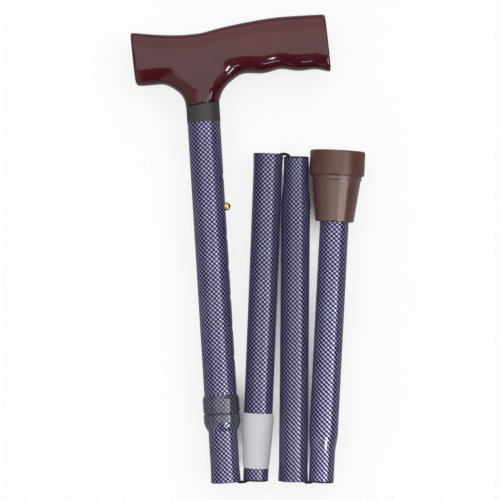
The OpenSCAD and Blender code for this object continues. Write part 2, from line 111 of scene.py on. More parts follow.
class CaneHandleLook(bpy.types.PropertyGroup):
    """Surface and finish of the lacquered handle and the bush under it"""
    red: colour("Lacquer", "Colour of the lacquer", 82, 14, 27)
    shade: colour("Lacquer shade", "Darker clouds in the lacquer", 70, 10, 22)
    grid: length("Grid", "Grid of the handle's surface", 0.7)
    smooth_steps: count("Smoothing", "Passes over the whole surface", 6)
    fillet_steps: count("Fillet", "Passes that blend the stem into the arms", 220)
    fillet_rise: length("Fillet rise", "Height given back after the blend", 0.8)
    bush: colour("Bush", "Moulded bush under the handle", 68, 63, 69)
    bush_length: length("Bush length", "Length of the bush that shows", 11.9)
    seat_slope: FloatProperty(
        name="Seat slope", description="Slope of the handle's seat", subtype="ANGLE",
        default=math.radians(7.5),
    )
    seam_radius: length("Seam radius", "Radius of the seat bead round the seat", 10.9)
    seam_thick: length("Seam thickness", "Thickness of the seat bead", 0.8)
    seam: colour("Seam", "Dark seat bead under the handle", 16, 8, 12)


class CanePrintLook(bpy.types.PropertyGroup):
    """The checked print on the tubes and lock rings"""
    period: length("Check period", "Length of one dark and one light check", 3.05)
    dark: colour("Dark check", "Navy ground of the print", 24, 19, 60)
    light: colour("Light check", "Silver checks of the print", 156, 153, 190)
    ring_dark: colour("Ring dark check", "Ground of the print on the lock rings", 50, 46, 64)
    ring_light: colour("Ring light check", "Light checks on the lock rings", 124, 121, 138)
    bare: colour("Bare tube", "Bare aluminium inside the tubes", 176, 176, 182)
    rim: length("Rim rounding", "Rounding of the tubes' rims", 0.3)
    shoulder: length("Shoulder rounding", "Rounding where a tube is swaged", 3.5)
    crisp: length("Crisp shoulder", "Length of the fourth tube's shoulder", 6.4)


class CaneLockLook(bpy.types.PropertyGroup):
    """Shape of the lock's two rings, measured from the first tube's low end"""
    radius: length("Ring radius", "Radius of the rings", 12.1)
    nut_cone: length("Nut cone", "Height of the cone at the nut's low end", 4)
    nut_step: length("Nut step", "How far that cone draws in", 2.2)
    nut_round: length("Nut rounding", "Rounding at the top of that cone", 2.4)
    socket_cone: length("Socket cone", "Height of the cone at the socket's high end", 2.6)
    socket_step: length("Socket step", "How far that cone draws in", 1.4)
    fine: length("Fine chamfer", "Chamfer where the two rings meet", 0.6)
    edge: length("Edge", "Rounding of the rings' edges", 0.4)
    low: length("Nut from", "Height at which the nut begins", 34.3)
    nut: length("Nut height", "Height of the nut", 11.2)
    floor: length("Nut floor", "Thickness of the nut's floor", 3)
    hollow: length("Nut hollow", "Radius of the hollow in the nut", 11.15)
    gap: length("Gap", "Gap between the two rings", 0.3)
    socket: length("Socket height", "Height of the socket", 12.3)
    bore: length("Bore", "Radius of the hole for the inner tube", 9.6)
    nose: length("Nose", "Radius of the socket's nose in the nut", 11.05)
    nose_bore: length("Nose bore", "Radius of the hole for the collet", 10.35)
    seat: length("Seat", "Radius of the seat for the outer tube", 10.83)
    stop: length("Stop", "Thickness of the ledge under the outer tube", 1.17)


class CaneTrimLook(bpy.types.PropertyGroup):
    """Paper, cord and small fittings"""
    paper: colour("Paper", "Blank label", 208, 208, 212)
    paper_thick: length("Paper thickness", "Thickness of the label", 0.16)
    paper_crease: length("Paper creases", "Height of the label's creases", 0.2)
    paper_round: length("Paper rounding", "How far the label's corners are cut back", 1.6)
    cord: colour("Cord", "Braided elastic cord", 20, 17, 26)
    cord_width: length("Cord diameter", "Diameter of the elastic cord", 2.2)
    bend_width: length("Bend diameter", "Diameter of the cord where it turns over a rim", 2.5)
    bend_press: amount("Bend press", "Share of its thickness that the cord keeps on a rim", 0.75)
    bend_sink: length("Bend sink", "How far the cord sinks between the rims", 0.75)
    seat_travel: length("Seat travel", "How far the cord draws in as a section is pushed home", 24)
    knot_width: length("Knot diameter", "Diameter of the cord's end knots", 6.4)
    braid_pitch: length("Braid pitch", "Length of one repeat of the braid", 2.4)
    brass: colour("Brass", "Height button", 232, 190, 112)
    steel: colour("Steel", "Leaf spring and washer", 178, 178, 182)
    black: colour("Black plastic", "Spigot bushes and cord plugs", 30, 28, 36)
    nylon: colour("Nylon", "Collet inside the lock", 214, 212, 204)


class CaneTipLook(bpy.types.PropertyGroup):
    """Shape and finish of the rubber tip"""
    rubber: colour("Rubber", "Rubber of the tip", 102, 67, 56)
    shade: colour("Rubber shade", "Darker patches of the rubber", 86, 56, 50)
    skirt_shine: amount("Skirt shine", "Weight of the satin shine on the skirt", 0.8)
    foot_height: length("Foot height", "Height of the foot", 16.4)
    skirt_radius: length("Skirt radius", "Radius of the skirt under the foot", 16.6)
    rim_radius: length("Rim radius", "Radius of the rim round the tube", 12.7)
    sole: length("Sole", "Thickness of the sole under the tube", 8)
    bead: length("Bead", "Height of the bead under the foot", 2.6)
    groove: length("Groove", "Depth of the groove under the foot", 0.6)
    ring_width: length("Sole ring width", "Width of a ring cut in the sole", 1.6)
    ring_depth: length("Sole ring depth", "Depth of a ring cut in the sole", 1.4)
    rings: count("Sole rings", "Number of rings cut in the sole", 3)
    edge: length("Edge", "Rounding of the foot's edges", 1.2)


class CaneStageLook(bpy.types.PropertyGroup):
    """Floor, lights and camera"""
    floor: colour("Floor", "Pale floor", 250, 250, 250)
    floor_glow: amount("Floor glow", "Share of plain white in the floor", 0.8)
    mirrored: amount("Mirrored glow", "Share of it that glossy surfaces mirror", 0.4)
    bounce: amount("Bounce", "Share of the light that the floor throws back", 0.15)
    shade_reach: length("Shade reach", "How far the floor looks for pieces round it", 18)
    view_width: length("View width", "Width of the picture at the tubes' level", 330)
    view_height: length("Camera height", "Height of the camera over the tubes' axes", 1500)
    view_x: length("View X", "Middle of the picture", 1.3)
    view_y: length("View Y", "Middle of the picture", 0)
    fill: amount("Fill", "Brightness of the sky overhead", 1.75)
    key: amount("Key", "Brightness of the soft light at the right", 2.2)
    low_sky: amount("Low sky", "Share of the overhead light at the horizon", 0.08)
    west: amount("West sky", "Share of the overhead light at the left", 0.75)
    night: amount("Dark side", "Brightness of the sky beyond the cane's feet", 0.06)
    dusk: amount("Left side", "Brightness of the sky to the left of that", 0.7)
    window: amount("Window", "Brightness of the light beyond the cane's feet", 24)
    low_window: amount("Low window", "Brightness of the lower light", 20)
    groove_window: amount("Groove window", "Brightness of the light that the grip's grooves mirror", 9)
    side_window: amount("Side window", "Brightness of the light at the right", 16)


class Axis:
    """Axis of a turned CAD node: its lower end, its length, and the matrix whose Z runs along it."""

    def __init__(self, node):
        points = np.array([v.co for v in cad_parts[node].data.vertices])
        points = np.unique(points.round(7), axis=0)
        way = np.linalg.svd(points - points.mean(0), full_matrices=False)[2][0]
        way = way * np.sign(way[1])
        for reach in (1 * MM, 0.2 * MM, 0.05 * MM):
            along = points @ way
            low, high = (
                (rim.min(0) + rim.max(0)) / 2
                for rim in (points[along < along.min() + reach], points[along > along.max() - reach])
            )
            way = (high - low) / np.linalg.norm(high - low)
        self.base = Vector(low)
        self.way = Vector(way)
        self.length = float(np.linalg.norm(high - low))
        side = self.way.cross(Vector((0, 0, 1)))
        self.matrix = Matrix((side, self.way.cross(side), self.way)).transposed().to_4x4()
        self.matrix.translation = self.base

    def outline(self, node):
        """Outer and inner (radius, height) corners of a turned node, from its low end up."""
        local = self.matrix.inverted()
        corners = set()
        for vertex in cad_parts[node].data.vertices:
            p = local @ vertex.co
            corners.add((round(math.hypot(p.x, p.y), 5), round(p.z, 5)))
        heights = sorted({z for _, z in corners})
        outer = [(max(r for r, h in corners if h == z), z) for z in heights]
        inner = [(min(r for r, h in corners if h == z), z) for z in heights]
        return outer, inner


def select_only(piece):
    """Leaves just this piece selected and active."""
    bpy.ops.object.select_all(action="DESELECT")
    piece.select_set(True)
    bpy.context.view_layer.objects.active = piece


def edit_all(piece):
    """Opens a piece for editing, with all of it selected."""
    select_only(piece)
    bpy.ops.object.mode_set(mode="EDIT")
    bpy.ops.mesh.select_all(action="SELECT")


def added(name, data):
    """A new object in the scene."""
    piece = bpy.data.objects.new(name, data)
    bpy.context.scene.collection.objects.link(piece)
    return piece


def copy_of(node, name):
    """A copy of a CAD node to work on, its corners joined."""
    piece = added(name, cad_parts[node].data.copy())
    edit_all(piece)
    bpy.ops.mesh.remove_doubles(threshold=SAME)
    bpy.ops.object.mode_set(mode="OBJECT")
    return piece


def pick_vertices(piece, wanted):
    """Selects, in edit mode, the vertices of the piece for which wanted(place) is true."""
    bpy.ops.mesh.select_mode(type="VERT")
    bpy.ops.mesh.select_all(action="DESELECT")
    bpy.ops.object.mode_set(mode="OBJECT")
    for vertex in piece.data.vertices:
        vertex.select = wanted(vertex.co)
    bpy.ops.object.mode_set(mode="EDIT")


def apply_modifier(piece, kind, **settings):
    """Adds a modifier with these settings and applies it."""
    select_only(piece)
    modifier = piece.modifiers.new(kind.title(), kind)
    for name, value in settings.items():
        setattr(modifier, name, value)
    bpy.ops.object.modifier_apply(modifier=modifier.name)


def spun(name, profile, rounds, steps=96, cuts=0):
    """A piece turned about Z from a profile of (radius, height) corners, each with its rounding.

    A profile that keeps clear of the axis is closed, unless cuts are asked for: they divide each
    stretch of an open one.
    """
    bpy.ops.mesh.primitive_plane_add(size=MM)
    piece = bpy.context.object
    piece.name = piece.data.name = name
    edit_all(piece)
    bpy.ops.mesh.merge(type="CENTER")
    bpy.ops.transform.translate(value=(profile[0][0], 0, profile[0][1]))
    for (r0, z0), (r1, z1) in zip(profile, profile[1:]):
        bpy.ops.mesh.extrude_vertices_move(TRANSFORM_OT_translate={"value": (r1 - r0, 0, z1 - z0)})
    ends = [Vector((r, 0, z)) for r, z in (profile[0], profile[-1])]
    if cuts == 0 and ends[0].x > 0:
        pick_vertices(piece, lambda co: any((co - end).length < SAME for end in ends))
        bpy.ops.mesh.edge_face_add()
    for size in sorted(set(rounds) - {0}):
        corners = [Vector((r, 0, z)) for (r, z), own in zip(profile, rounds) if own == size]
        pick_vertices(piece, lambda co: any((co - corner).length < SAME for corner in corners))
        bpy.ops.mesh.bevel(offset=size, segments=6, affect="VERTICES")
    bpy.ops.mesh.select_all(action="SELECT")
    if cuts:
        bpy.ops.mesh.subdivide(number_cuts=cuts)
        bpy.ops.mesh.select_all(action="SELECT")
    bpy.ops.mesh.spin(steps=steps, angle=TURN, center=(0, 0, 0), axis=(0, 0, 1))
    bpy.ops.mesh.select_all(action="SELECT")
    bpy.ops.mesh.remove_doubles(threshold=SAME / 10)
    bpy.ops.mesh.normals_make_consistent(inside=False)
    bpy.ops.object.mode_set(mode="OBJECT")
    return piece


def place(piece, matrix, smooth=40):
    """Moves a piece that was made at the origin to its place, and shades its curves smooth."""
    piece.matrix_world = matrix
    select_only(piece)
    bpy.ops.object.transform_apply(location=True, rotation=True, scale=True)
    bpy.ops.object.shade_smooth_by_angle(angle=math.radians(smooth))
    apply_modifier(piece, "WEIGHTED_NORMAL", keep_sharp=True)


def dress(piece, slot, material, *nodes):
    """Gives a new piece its finish, in place of the CAD nodes it stands for."""
    piece.data.materials.clear()
    piece.data.materials.append(material)
    if nodes:
        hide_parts(*nodes)


def finish_node(node, material):
    """Gives a CAD node that stays as it is its finish."""
    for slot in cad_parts[node].material_slots:
        slot.material = material


class Graph:
    """The nodes of one procedural material, or of the studio's sky."""

    def __init__(self, owner, coords="Object"):
        owner.use_nodes = True
        self.owner = owner
        self.tree = owner.node_tree
        self.coords = self.add("ShaderNodeTexCoord").outputs[coords]

    def add(self, kind, inputs=None, **settings):
        """A node with its settings, whose inputs are values or other nodes' outputs."""
        node = self.tree.nodes.new(kind)
        for name, value in settings.items():
            setattr(node, name, value)
        for name, value in (inputs or {}).items():
            self.feed(node.inputs[name], value)
        return node

    def feed(self, socket, value):
        """Links an output to a socket, or sets the socket's value."""
        if isinstance(value, bpy.types.NodeSocket):
            self.tree.links.new(value, socket)
        elif socket.type == "RGBA":
            socket.default_value = (*value[:3], 1)
        else:
            socket.default_value = value

    def math(self, operation, *values):
        """The result of one sum on these values."""
        return self.add("ShaderNodeMath", dict(enumerate(values)), operation=operation).outputs[0]

    def band(self, value, low, high, out_low=0, out_high=1):
        """Rises smoothly from out_low at low to out_high at high."""
        inputs = {"Value": value, "From Min": low, "From Max": high, "To Min": out_low, "To Max": out_high}
        return self.add("ShaderNodeMapRange", inputs, interpolation_type="SMOOTHSTEP").outputs["Result"]

    def mix(self, share, first, second):
        """A colour from first at share 0 to second at share 1."""
        node = self.add("ShaderNodeMix", {"Factor": share}, data_type="RGBA")
        for socket, value in zip([s for s in node.inputs if s.type == "RGBA"], (first, second)):
            self.feed(socket, value)
        return next(s for s in node.outputs if s.type == "RGBA")

    def noise(self, scale, detail=3, stretch=(1, 1, 1), vector=None):
        """Clouds of a size set by scale, per metre."""
        inputs = {"Vector": vector or self.coords, "Scale": stretch}
        placed = self.add("ShaderNodeMapping", inputs).outputs[0]
        inputs = {"Vector": placed, "Scale": scale, "Detail": detail, "Roughness": 0.55}
        return self.add("ShaderNodeTexNoise", inputs).outputs["Fac"]

    def bump(self, height, depth, strength=1):
        """A normal that follows a height of 0 to 1 over this depth."""
        inputs = {"Height": height, "Distance": depth, "Strength": strength}
        return self.add("ShaderNodeBump", inputs).outputs["Normal"]

    def split(self, vector):
        """The three parts of a vector."""
        return self.add("ShaderNodeSeparateXYZ", {0: vector}).outputs[:]

    def about(self, axis):
        """Coordinates in which Z runs along a turned piece's axis, from its lower end."""
        inputs = {"Vector": self.coords, "Location": axis.base, "Rotation": axis.matrix.to_euler()}
        return self.add("ShaderNodeMapping", inputs, vector_type="TEXTURE").outputs[0]

    def facing(self, axis):
        """The surface's direction, turned to the same coordinates."""
        normal = self.add("ShaderNodeTexCoord").outputs["Normal"]
        inputs = {"Vector": normal, "Rotation": axis.matrix.to_3x3().transposed().to_euler()}
        return self.add("ShaderNodeMapping", inputs, vector_type="VECTOR").outputs[0]

    def done(self, **sockets):
        """Sets the shader's sockets, with _ for a space in a name, and returns the material."""
        shader = self.tree.nodes["Principled BSDF"]
        for name, value in sockets.items():
            self.feed(shader.inputs[name.replace("_", " ")], value)
        return self.owner


def graph(name):
    """The nodes of a new material."""
    return Graph(bpy.data.materials.new(name))


def lacquer_finish(look):
    """Deep red lacquer under a clear, slightly rippled gloss."""
    g = graph("burgundy lacquer")
    clouds = g.band(g.noise(28, 4, (1, 1, 0.4)), 0.35, 0.68)
    fine = g.band(g.noise(900, 2), 0.5, 0.8, 0, 0.3)
    base = g.mix(fine, g.mix(clouds, look.red, look.shade), look.shade)
    ripple = g.bump(g.noise(240, 2), 0.02 * MM, 0.2)
    wear = g.band(g.noise(150, 5), 0.3, 0.8, 0.3, 0.45)
    return g.done(
        Base_Color=base, Roughness=wear, Specular_IOR_Level=0.05, Normal=ripple, Coat_Weight=0.78,
        Coat_Roughness=0.04, Coat_IOR=1.5, Coat_Normal=ripple,
    )


def moulded_finish(name, base, rough, grain=0.03 * MM):
    """Satin moulded plastic with a fine grain and faint flow clouds."""
    g = graph(name)
    clouds = g.band(g.noise(60, 4), 0.3, 0.75)
    shaded = g.mix(clouds, base, [0.72 * c for c in base])
    rubbed = g.band(g.noise(420, 3), 0.3, 0.75, rough - 0.08, rough + 0.1)
    skin = g.bump(g.noise(3200, 2), grain, 0.5)
    return g.done(Base_Color=shaded, Roughness=rubbed, Specular_IOR_Level=0.3, Normal=skin)


def print_finish(name, axis, radius, look, twill, seam, gloss, painted_light_factor=1, greyed=None, polished=None):
    """A check printed round a tube and lacquered, on aluminium that is bare inside and at the rims.

    twill gives how evenly the two diagonals of the check show at the tube's low and high ends, and
    seam the angle at which the print's two edges meet. The light checks are scaled by a per-tube factor
    that paints light onto the tube above 1 and paints shade onto it below 1.
    Above the height greyed the print has the lock rings' greyer colours, and between the two heights
    polished the lacquer is at its thickest.
    """
    grey_fade, polish_fade = 0.4 * MM, 2 * MM
    lap_edge, lap_slip, unsteady = (0.10, 0.15), 0.8, 0.7
    speckle, ink_edge, shine = 0.5, (-0.08, 0.55), 0.55
    g = graph(name)
    across, down, along = g.split(g.about(axis))
    # Light checks scaled per tube: painted light where the factor is above 1, painted shade below 1
    dark, light, coat = look.dark, [painted_light_factor * c for c in look.light], gloss
    if greyed is not None:
        above = g.band(along, greyed - grey_fade, greyed + grey_fade)
        dark = g.mix(above, dark, look.ring_dark)
        light = g.mix(above, light, look.ring_light)
    if polished:
        low, high = polished
        begun = g.band(along, low - polish_fade, low)
        inner = g.math("MULTIPLY", begun, g.band(along, high, high + polish_fade, 1, 0))
        coat = g.math("MULTIPLY_ADD", inner, 1 - gloss, gloss)
    angle = g.math("ARCTAN2", across, g.math("MULTIPLY", down, -1))
    checks = round(TURN * radius / look.period)
    from_seam = g.math("ABSOLUTE", g.math("SUBTRACT", angle, seam))
    lap = g.band(from_seam, *lap_edge, 1, 0)
    slip = g.math("MULTIPLY_ADD", lap, lap_slip, g.math("MULTIPLY", along, TURN / look.period))
    waver = g.math("MULTIPLY_ADD", g.noise(150, 2), unsteady, slip)
    turned_by = g.math("MULTIPLY", angle, checks)
    falling = g.math("COSINE", g.math("ADD", turned_by, waver))
    rising = g.math("COSINE", g.math("SUBTRACT", turned_by, waver))
    even = g.band(along, 0, axis.length, *twill)
    weave = g.math("DIVIDE", g.math("MULTIPLY_ADD", rising, even, falling), g.math("ADD", even, 1))
    ink = g.math("MULTIPLY_ADD", g.noise(1500, 2), speckle, g.math("ADD", weave, -speckle / 2))
    check = g.band(ink, *ink_edge)
    faded = g.band(g.noise(45, 3), 0.3, 0.75, 0.82, 1)
    printed = g.mix(g.math("MULTIPLY", check, faded), dark, light)
    face_across, face_down, _ = g.split(g.facing(axis))
    outward = g.math("MULTIPLY_ADD", across, face_across, g.math("MULTIPLY", down, face_down))
    inside = g.math("LESS_THAN", outward, 0.2 * radius)
    metal = g.math("MAXIMUM", g.math("MULTIPLY", check, shine), inside)
    drawn = g.noise(700, 3, (1, 0.02, 1))
    rough = g.math("MULTIPLY_ADD", drawn, 0.12, 0.24)
    return g.done(
        Base_Color=g.mix(inside, printed, look.bare), Metallic=metal, Roughness=rough,
        Specular_IOR_Level=0.12, Normal=g.bump(check, 0.02 * MM, 0.3), Coat_Weight=coat, Coat_Roughness=0.1,
    )


def metal_finish(name, base, rough, scale):
    """Bare metal with fine scratches."""
    g = graph(name)
    marks = g.noise(scale, 4, (1, 0.08, 1))
    dull = g.band(g.noise(190, 3), 0.35, 0.7)
    shaded = g.mix(dull, base, [0.7 * c for c in base])
    rubbed = g.math("MULTIPLY_ADD", marks, 0.2, rough - 0.1)
    return g.done(Base_Color=shaded, Metallic=1.0, Roughness=rubbed, Normal=g.bump(marks, 0.01 * MM, 0.3))


def rubber_finish(look, axis, ledge):
    """Brown rubber, mottled and slightly bloomed, with a satin shine below the foot's ledge."""
    g = graph("brown rubber")
    _, _, along = g.split(g.about(axis))
    shine = g.band(along, ledge - 1 * MM, ledge, look.skirt_shine, 0)
    mottle = g.band(g.noise(75, 5), 0.32, 0.72)
    bloom = g.band(g.noise(260, 4), 0.45, 0.8, 0, 0.4)
    base = g.mix(bloom, g.mix(mottle, look.rubber, look.shade), [1.2 * c for c in look.rubber])
    rough = g.band(g.noise(120, 4), 0.3, 0.7, 0.25, 0.33)
    skin = g.bump(g.noise(1500, 4), 0.03 * MM, 0.3)
    return g.done(
        Base_Color=base, Roughness=rough, Normal=skin, Specular_IOR_Level=0.4, Coat_Weight=shine,
        Coat_Roughness=0.28,
    )


def paper_finish(look):
    """White paper with fibres and soft handling marks."""
    g = graph("label paper")
    fibre = g.noise(2400, 4, (1, 0.5, 1))
    smudge = g.band(g.noise(90, 4), 0.45, 0.85, 0, 0.5)
    base = g.mix(smudge, look.paper, [0.82 * c for c in look.paper])
    grain = g.bump(g.math("MULTIPLY_ADD", fibre, 0.25, g.noise(140, 2)), 0.1 * MM, 0.5)
    rough = g.band(fibre, 0.3, 0.7, 0.55, 0.7)
    return g.done(Base_Color=base, Roughness=rough, Normal=grain, Specular_IOR_Level=0.3)


def braid_finish(look):
    """Black braided sheath: two families of strands that cross round the cord."""
    g = Graph(bpy.data.materials.new("cord braid"), "UV")
    around, along, _ = g.split(g.coords)
    first = g.math("SINE", g.math("MULTIPLY", g.math("ADD", around, along), TURN))
    second = g.math("SINE", g.math("MULTIPLY", g.math("SUBTRACT", around, along), TURN))
    strand = g.math("MAXIMUM", first, second)
    # Painted shade: the colour falls to a third of the cord's in the dips between the strands
    base = g.mix(g.band(strand, -0.4, 1), [0.3 * c for c in look.cord], look.cord)
    worn = g.band(strand, -0.2, 1, 0.85, 0.6)
    return g.done(
        Base_Color=base, Roughness=worn, Normal=g.bump(strand, 0.12 * MM, 0.8), Sheen_Weight=0.1,
        Specular_IOR_Level=0.2,
    )


def mark_crotch(piece, local):
    """Weighs the vertices round the stem's top, across the handle and along the stem."""
    middle, reach, fade = (2 * MM, 20 * MM), (48 * MM, 19 * MM), (14 * MM, 9 * MM)
    group = piece.vertex_groups.new(name="crotch")
    for vertex in piece.data.vertices:
        p = local @ vertex.co
        shares = [(r - abs(q - m)) / f for q, m, r, f in zip((p.x, p.z), middle, reach, fade)]
        group.add([vertex.index], min(1, max(0, min(shares))), "REPLACE")


def blended_grip(look, seat):
    """The T handle, with the stem blended into the arms."""
    piece = copy_of("handle", "lacquered_handle")
    apply_modifier(piece, "REMESH", mode="VOXEL", voxel_size=look.grid, adaptivity=0)
    mark_crotch(piece, seat.inverted())
    apply_modifier(piece, "SMOOTH", factor=0.5, iterations=look.fillet_steps, vertex_group="crotch")
    apply_modifier(piece, "DISPLACE", strength=look.fillet_rise, mid_level=0, vertex_group="crotch")
    apply_modifier(piece, "SMOOTH", factor=0.5, iterations=look.smooth_steps)
    bpy.ops.object.shade_smooth()
    dress(piece, "handle", lacquer_finish(look), "handle")
    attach(piece, "upper")


def seat_bead(look, seat):
    """The dark, slightly uneven bead between the handle and its bush."""
    corners, lump = 10, 3 * MM
    half = look.seam_thick / 2
    turns = [TURN * k / corners for k in range(corners)]
    profile = [(look.seam_radius + half * math.cos(a), half * math.sin(a)) for a in turns]
    piece = spun("seat_seam", profile, [0] * corners)
    lumps = bpy.data.textures.new("seam lumps", "CLOUDS")
    lumps.noise_scale = lump
    apply_modifier(piece, "DISPLACE", texture=lumps, texture_coords="LOCAL", strength=half)
    place(piece, seat @ Matrix.Rotation(-look.seat_slope, 4, "Y"), 80)
    dress(piece, "bush", moulded_finish("seat bead", look.seam, 0.2, 0.01 * MM))
    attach(piece, "upper")


class CANE_OT_handle(bpy.types.Operator):
    """Smooths the handle's surface, lacquers it and seats it on its grey bush"""
    bl_idname = "cane.handle"
    bl_label = "Handle"

    def execute(self, context):
        look = context.scene.cane_handle
        tube = Axis("outer_tube")
        seat = tube.matrix @ Matrix.Translation((0, 0, tube.length + look.bush_length))
        blended_grip(look, seat)
        seat_bead(look, seat)
        finish_node("handle_bush", moulded_finish("grey bush", look.bush, 0.5))
        return {"FINISHED"}


def swaged_tube(node, body, axis, outer, inner, material, look):
    """A tube whose spigot, shoulder and bell run softly into each other."""
    slight = math.radians(4)
    soft = [look.rim]
    for low, corner, high in zip(outer, outer[1:], outer[2:]):
        bend = (Vector(corner) - Vector(low)).angle(Vector(high) - Vector(corner))
        soft.append(look.shoulder if bend > slight else 0)
    soft.append(look.rim)
    piece = spun("printed_" + node, outer + inner[::-1], soft + soft[::-1])
    place(piece, axis.matrix)
    dress(piece, "tube", material, node)
    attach(piece, body)


class CANE_OT_tubes(bpy.types.Operator):
    bl_idname = "cane.tubes"
    bl_label = "Tubes"

    def execute(self, context):
        look = context.scene.cane_print
        gloss = 0.3
        # Body of a tube that is turned anew, twill at its low and high ends, angle of the seam, and a
        # factor
        # on the light checks: painted light above 1, painted shade below 1
        plan = {
            "outer_tube": (None, (0.8, 0.95), 2.6, 1.15),
            "inner_tube": (None, (0.7, 0.8), 2.6, 1.15),
            "tube_2": ("section_2", (0.7, 0.95), -2.2, 0.95),
            "tube_3": ("section_3", (0.4, 0.95), 0.28, 0.85),
            "tube_4": ("section_4", (0.4, 0.85), -2.6, 1.3),
        }
        for node, (body, twill, seam, painted_light_factor) in plan.items():
            axis = Axis(node)
            outer, inner = axis.outline(node)
            radius = sorted(r for r, _ in outer)[len(outer) // 2]
            polished = None
            if node == "tube_4":
                full = max(r for r, _ in outer)
                foot = next(z for r, z in outer if r > full - SAME)
                polished = (foot - look.crisp, foot)
                outer = [outer[0], (outer[0][0], polished[0])] + [c for c in outer if c[1] > foot - SAME]
            material = print_finish(
                node + " print", axis, radius, look, twill, seam, gloss, painted_light_factor, polished=polished
            )
            if body is None:
                finish_node(node, material)
            else:
                swaged_tube(node, body, axis, outer, inner, material, look)
        return {"FINISHED"}


def nut_corners(look):
    """The nut's profile: chamfered low edge, floor with a hole, hollow for the collet."""
    r, fine, low = look.radius, look.fine, look.low
    high, floor = low + look.nut, low + look.floor
    return [
        (r - look.nut_step, low), (r, low + look.nut_cone), (r, high - fine), (r - fine, high),
        (look.hollow, high), (look.hollow, floor + fine), (look.bore, floor), (look.bore, low),
    ]


def socket_corners(look):
    """The socket's profile: chamfered high edge, nose inside the nut, seat for the outer tube."""
    r, fine, nose, bore = look.radius, look.fine, look.nose, look.nose_bore
    low = look.low + look.nut + look.gap
    high, ledge, nose_low = low + look.socket, low + look.stop, look.low + look.nut / 2
    return [
        (look.seat, high), (r - look.socket_step, high), (r, high - look.socket_cone), (r, low + fine),
        (r - fine, low), (nose, low), (nose, nose_low), (bore, nose_low), (bore, low),
        (look.bore, low), (look.bore, ledge), (look.seat, ledge),
    ]


class CANE_OT_lock(bpy.types.Operator):
    """Turns the two lock rings with soft edges, prints them in greyer checks and finishes the collet"""
    bl_idname = "cane.lock"
    bl_label = "Height lock"

    def execute(self, context):
        look = context.scene.cane_lock
        prints = context.scene.cane_print
        axis = Axis("inner_tube")
        twill, seam, gloss = (0.9, 0.9), 2.2, 0.8
        greyed = look.low + look.nut_cone
        for node, body, corners in (
            ("lock_nut", "lock_nut", nut_corners(look)),
            ("lock_socket", "upper", socket_corners(look)),
        ):
            rounds = [look.edge if r > look.radius - SAME else 0 for r, _ in corners]
            if node == "lock_nut":
                rounds[1] = look.nut_round
            piece = spun("printed_" + node, corners, rounds)
            place(piece, axis.matrix)
            material = print_finish(
                node + " print", axis, look.radius, prints, twill, seam, gloss, greyed=greyed
            )
            dress(piece, "lock", material, node)
            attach(piece, body)
        finish_node("lock_collet", moulded_finish("white nylon", context.scene.cane_trim.nylon, 0.5))
        return {"FINISHED"}


def split_spring(steel):
    """The bent spring cut in two: a heel carried by the first shaft, and the leaf, left where it lies."""
    root, tip, edge = 26 * MM, 4 * MM, 0.1 * MM
    axis = Axis("inner_tube")
    for name, outward in (("spring_heel", False), ("spring_leaf", True)):
        piece = copy_of("button_spring", name)
        edit_all(piece)
        bpy.ops.mesh.bisect(
            plane_co=axis.base, plane_no=axis.matrix.to_3x3().col[0], use_fill=True,
            clear_inner=outward, clear_outer=not outward,
        )
        bpy.ops.mesh.select_all(action="SELECT")
        bpy.ops.mesh.subdivide(number_cuts=7)
        bpy.ops.object.mode_set(mode="OBJECT")
        apply_modifier(piece, "BEVEL", width=edge, segments=2, limit_method="ANGLE")
        bpy.ops.object.shade_smooth_by_angle(angle=math.radians(40))
        dress(piece, "steel", steel, "button_spring")
        if outward:
            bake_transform(piece)
        else:
            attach(piece, "shaft_1")


class CANE_OT_fittings(bpy.types.Operator):
    """Finishes the button, its spring, the plugs, the bushes and the washer"""
    bl_idname = "cane.fittings"
    bl_label = "Small fittings"

    def execute(self, context):
        look = context.scene.cane_trim
        steel = metal_finish("spring steel", look.steel, 0.35, 900)
        black = moulded_finish("black plastic", look.black, 0.45)
        finish_node("height_button", metal_finish("polished brass", look.brass, 0.26, 1400))
        finish_node("tip_washer", steel)
        split_spring(steel)
        bushes = [f"spigot_bush_{section}" for section in (2, 3, 4)]
        for node in ("cord_plug_top", "cord_plug_bottom", *bushes):
            finish_node(node, black)
        return {"FINISHED"}


def cord_route(node):
    """The middle line of a stretch of cord, from the rings of corners that CAD drew round it.

    A straight stretch runs up from its low end, and ends with the two ends of its knot if it has
    one. A turn over the rims runs from the tip of its longer leg to that of its shorter one.
    """
    level = Axis("tube_4").base.z
    corners = {tuple(round(c, 7) for c in v.co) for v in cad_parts[node].data.vertices}
    flanks = [Vector(corner) for corner in corners if abs(corner[2] - level) < SAME]
    middles = [(one + other) / 2 for one, other in itertools.combinations(flanks, 2)]
    crowns = [Vector((x, y, level)) for x, y, z in corners if z > level + SAME]
    rings = [c for c in crowns if min((c - middle).length for middle in middles) < SAME / 10]
    if node in CORD_BODIES:
        rings.sort(key=lambda ring: ring.y)
        return rings[:3] + rings[3:][-1:]
    centre = sum(rings, Vector()) / len(rings)
    *turn, short_tip, long_tip = sorted(rings, key=lambda ring: (ring - centre).length)
    back = [short_tip]
    while turn:
        back.append(min(turn, key=lambda ring: (ring - back[-1]).length))
        turn.remove(back[-1])
    return [long_tip, *reversed(back)]


def cord_skin(name, points, across, widths, pressed):
    """The cord's surface: a ring of corners round every point, closed at both ends."""
    rings = []
    for point, side, width, press in zip(points, across, widths, pressed):
        flat, tall = side * press, np.array((0, 0, 1 / math.sqrt(press)))
        for k in range(CORD_SIDES):
            a = TURN * k / CORD_SIDES
            rings.append(point + width * (flat * math.cos(a) + tall * math.sin(a)))
    faces = []
    for low in range(0, len(rings) - CORD_SIDES, CORD_SIDES):
        high = low + CORD_SIDES
        for k in range(CORD_SIDES):
            n = (k + 1) % CORD_SIDES
            faces.append((low + k, low + n, high + n, high + k))
    faces.append(tuple(reversed(range(CORD_SIDES))))
    faces.append(tuple(range(len(rings) - CORD_SIDES, len(rings))))
    mesh = bpy.data.meshes.new(name)
    mesh.from_pydata(rings, [], faces)
    return mesh


